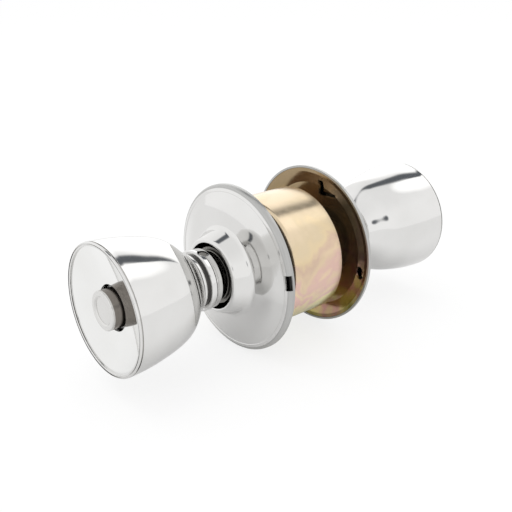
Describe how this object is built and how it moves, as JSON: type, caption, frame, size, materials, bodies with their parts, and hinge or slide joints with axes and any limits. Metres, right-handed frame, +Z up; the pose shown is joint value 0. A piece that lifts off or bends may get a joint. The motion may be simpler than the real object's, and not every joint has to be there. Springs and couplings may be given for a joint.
{
  "type": "cylindrical knob lockset",
  "caption": "Tulip-shaped door knob lockset: two polished knobs on round roses, a drum chassis between them, an inside push button and an outside key cylinder.",
  "frame": {"origin": "middle of the drum chassis on the spindle axis", "axes": "+Y along the spindle from the inside knob to the outside knob, +Z up, the latch side of the drum faces -X"},
  "size_m": [0.066, 0.157, 0.066],
  "materials": {
    "polished_steel": "mirror-polished stainless steel skin",
    "face_steel": "polished stainless steel, very slightly dished",
    "button_metal": "brushed nickel side with a bright turned face",
    "neck_chrome": "bright chrome plating",
    "yellow_zinc": "yellow zinc dichromate with pink and green bloom",
    "dark_zinc": "dark olive dichromate",
    "plain_steel": "bare stamped steel",
    "spring_steel": "bare spring wire",
    "brass": "machined brass",
    "cast_zinc": "die-cast zinc alloy",
    "screw_zinc": "zinc-plated screw"
  },
  "bodies": {
    "chassis": {"chassis_drum": "yellow_zinc", "outside_end_plate": "yellow_zinc", "inside_hub": "plain_steel", "outside_hub": "plain_steel", "retractor_guide": "plain_steel", "retractor_springs": "spring_steel", "inside_mounting_plate": "dark_zinc", "mounting_screws": "screw_zinc", "chassis_nuts": "screw_zinc", "outside_rose_liner": "dark_zinc", "liner_nut": "plain_steel", "inside_rose": "polished_steel", "outside_rose": "polished_steel"},
    "inside_knob": {"inside_knob_shell": "polished_steel", "inside_knob_face": "face_steel", "inside_knob_sleeve": "neck_chrome", "inside_neck_ring": "neck_chrome", "inside_spindle": "plain_steel", "inside_catch_spring": "spring_steel", "button_guide": "cast_zinc", "button_spring": "spring_steel"},
    "outside_knob": {"outside_knob_shell": "polished_steel", "outside_knob_face": "face_steel", "outside_knob_sleeve": "neck_chrome", "outside_neck_ring": "neck_chrome", "outside_spindle": "plain_steel", "outside_catch_spring": "spring_steel", "key_cylinder_body": "brass", "driver_pins": "brass", "pin_springs": "spring_steel"},
    "retractor": {"retractor": "cast_zinc"},
    "button": {"push_button": "button_metal", "button_plunger": "plain_steel"},
    "key_plug": {"key_plug": "brass", "key_pins": "brass", "plug_retainer_clip": "spring_steel", "tailpiece": "plain_steel"},
    "inside_catch": {"inside_knob_catch": "plain_steel"},
    "outside_catch": {"outside_knob_catch": "plain_steel"}
  },
  "joints": [
    {"name": "inside_knob_turn", "type": "hinge", "parent": "chassis", "child": "inside_knob", "pos_m": [0, 0, 0], "axis": [0, 1, 0], "range_deg": [0, 55], "stiffness_Nm_per_rad": 0.25},
    {"name": "outside_knob_turn", "type": "hinge", "parent": "chassis", "child": "outside_knob", "pos_m": [0, 0, 0], "axis": [0, 1, 0], "range_deg": [-55, 0]},
    {"name": "retractor_slide", "type": "slide", "parent": "chassis", "child": "retractor", "axis": [1, 0, 0], "range_m": [0, 0.0112], "deforming": ["retractor_springs"]},
    {"name": "button_push", "type": "slide", "parent": "inside_knob", "child": "button", "axis": [0, 1, 0], "range_m": [0, 0.0036], "stiffness_N_per_m": 300, "deforming": ["button_spring"]},
    {"name": "key_turn", "type": "hinge", "parent": "outside_knob", "child": "key_plug", "pos_m": [0, 0.06, 0], "axis": [0, 1, 0], "range_deg": [0, 90]},
    {"name": "inside_catch_press", "type": "slide", "parent": "inside_knob", "child": "inside_catch", "axis": [-0.2588, 0, -0.9659], "range_m": [0, 0.0021], "stiffness_N_per_m": 400, "deforming": ["inside_catch_spring"]},
    {"name": "outside_catch_press", "type": "slide", "parent": "outside_knob", "child": "outside_catch", "axis": [-0.2588, 0, -0.9659], "range_m": [0, 0.0021], "stiffness_N_per_m": 400, "deforming": ["outside_catch_spring"]}
  ],
  "couplings": [
    {"joint": "outside_knob_turn", "follows": "inside_knob_turn", "ratio": -1},
    {"joint": "retractor_slide", "follows": "inside_knob_turn", "m_per_rad": 0.0115}
  ]
}
